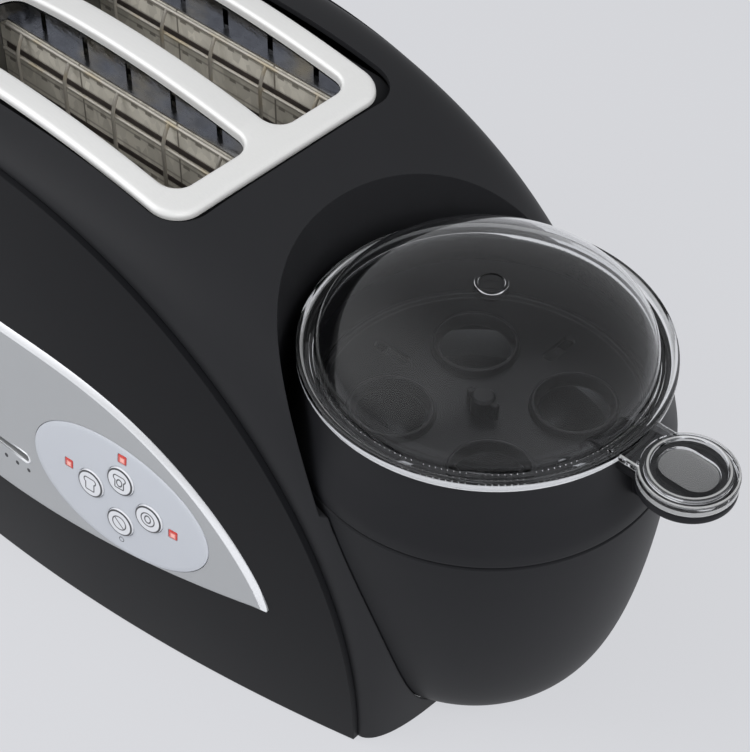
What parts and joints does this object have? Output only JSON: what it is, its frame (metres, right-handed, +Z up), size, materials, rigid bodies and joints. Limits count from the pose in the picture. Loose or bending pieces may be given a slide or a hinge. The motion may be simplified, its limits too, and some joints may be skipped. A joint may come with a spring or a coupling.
{
  "type": "egg cooker",
  "caption": "Bread toaster with long slots and an arched black body, and an egg steamer with a lift-out bowl, egg tray and clear domed lid built into one end.",
  "frame": {"origin": "on the table, below the middle of the whole machine", "axes": "+X towards the egg cooker along the machine's length, +Y towards its back, away from the controls, +Z up"},
  "size_m": [0.422, 0.2114, 0.1924],
  "materials": {
    "cover_black": "satin moulded black",
    "knob_black": "satin moulded black",
    "base_black": "matt moulded black",
    "bowl_black": "satin outside, polished inside",
    "rack_black": "polished black",
    "plate_steel": "fine brushed stainless",
    "sheet_steel": "bright rolled sheet",
    "tray_steel": "bright rolled sheet",
    "mica": "pressed mica board",
    "heater_ribbon": "oxidised resistance ribbon",
    "wire_chrome": "bright drawn wire",
    "rod_steel": "ground and polished",
    "spring_steel": "drawn spring wire",
    "screw_steel": "zinc plated",
    "core_steel": "plated core",
    "coil_green": "lacquered board",
    "foot_rubber": "matt",
    "trim_silver": "silver lacquered",
    "pad_grey": "pale grey lacquer",
    "button_grey": "pale grey lacquer",
    "lamp_red": "translucent red",
    "dish_steel": "polished stainless",
    "cast_alloy": "cast",
    "clear_lid": "clear polished plastic"
  },
  "bodies": {
    "base": {"body_cover": "cover_black", "front_panel": "cover_black", "rear_panel": "cover_black", "base_pan": "base_black", "top_plate": "plate_steel", "slot_throats": "sheet_steel", "lever_end_plate": "sheet_steel", "cooker_end_plate": "sheet_steel", "reflectors": "sheet_steel", "heater_boards": "mica", "heater_ribbons": "heater_ribbon", "guide_rods": "rod_steel", "lift_springs": "spring_steel", "latch_magnet": "core_steel", "latch_board": "coil_green", "rubber_feet": "foot_rubber", "case_screws": "screw_steel", "cord_inlet": "foot_rubber", "control_trim": "trim_silver", "button_pad": "pad_grey", "indicator_lamps": "lamp_red", "browning_slider": "base_black", "control_board": "coil_green", "board_screws": "screw_steel", "cooker_housing": "cover_black", "heating_dish": "dish_steel", "dish_heater": "cast_alloy", "cooker_thermostat": "base_black"},
    "lever": {"lever_knob": "knob_black", "carriage": "sheet_steel", "bread_racks": "rod_steel"},
    "front_outer_guide": {"front_outer_guide": "wire_chrome"},
    "front_inner_guide": {"front_inner_guide": "wire_chrome"},
    "rear_inner_guide": {"rear_inner_guide": "wire_chrome"},
    "rear_outer_guide": {"rear_outer_guide": "wire_chrome"},
    "crumb_tray": {"crumb_tray": "tray_steel"},
    "browning_knob": {"browning_knob": "knob_black"},
    "toast_button": {"toast_button": "button_grey"},
    "toast_egg_button": {"toast_egg_button": "button_grey"},
    "egg_button": {"egg_button": "button_grey"},
    "stop_button": {"stop_button": "button_grey"},
    "bowl": {"cooking_bowl": "bowl_black"},
    "tray": {"egg_tray": "rack_black"},
    "lid": {"clear_lid": "clear_lid"}
  },
  "joints": [
    {"name": "lever_slide", "type": "slide", "parent": "base", "child": "lever", "axis": [0, 0, -1], "range_m": [0, 0.07], "stiffness_N_per_m": 60, "springref_m": -0.05, "deforming": ["lift_springs"]},
    {"name": "front_outer_close", "type": "slide", "parent": "base", "child": "front_outer_guide", "axis": [0, 1, 0], "range_m": [0, 0.004]},
    {"name": "front_inner_close", "type": "slide", "parent": "base", "child": "front_inner_guide", "axis": [0, -1, 0], "range_m": [0, 0.004]},
    {"name": "rear_inner_close", "type": "slide", "parent": "base", "child": "rear_inner_guide", "axis": [0, 1, 0], "range_m": [0, 0.004]},
    {"name": "rear_outer_close", "type": "slide", "parent": "base", "child": "rear_outer_guide", "axis": [0, -1, 0], "range_m": [0, 0.004]},
    {"name": "crumb_tray_slide", "type": "slide", "parent": "base", "child": "crumb_tray", "axis": [0, 1, 0], "range_m": [0, 0.15]},
    {"name": "browning_slide", "type": "slide", "parent": "base", "child": "browning_knob", "axis": [1, 0, 0], "range_m": [-0.035, 0.035]},
    {"name": "toast_press", "type": "slide", "parent": "base", "child": "toast_button", "axis": [0, 1, 0], "range_m": [0, 0.001], "stiffness_N_per_m": 600, "springref_m": -0.002},
    {"name": "toast_egg_press", "type": "slide", "parent": "base", "child": "toast_egg_button", "axis": [0, 1, 0], "range_m": [0, 0.001], "stiffness_N_per_m": 600, "springref_m": -0.002},
    {"name": "egg_press", "type": "slide", "parent": "base", "child": "egg_button", "axis": [0, 1, 0], "range_m": [0, 0.001], "stiffness_N_per_m": 600, "springref_m": -0.002},
    {"name": "stop_press", "type": "slide", "parent": "base", "child": "stop_button", "axis": [0, 1, 0], "range_m": [0, 0.001], "stiffness_N_per_m": 600, "springref_m": -0.002},
    {"name": "bowl_lift", "type": "slide", "parent": "base", "child": "bowl", "axis": [0, 0, 1], "range_m": [0, 0.1]},
    {"name": "tray_lift", "type": "slide", "parent": "bowl", "child": "tray", "axis": [0, 0, 1], "range_m": [0, 0.023]},
    {"name": "lid_lift", "type": "slide", "parent": "bowl", "child": "lid", "axis": [0, 0, 1], "range_m": [0, 0.12]}
  ],
  "couplings": [
    {"joint": "front_outer_close", "follows": "lever_slide", "ratio": 0.0571},
    {"joint": "front_inner_close", "follows": "lever_slide", "ratio": 0.0571},
    {"joint": "rear_inner_close", "follows": "lever_slide", "ratio": 0.0571},
    {"joint": "rear_outer_close", "follows": "lever_slide", "ratio": 0.0571}
  ]
}
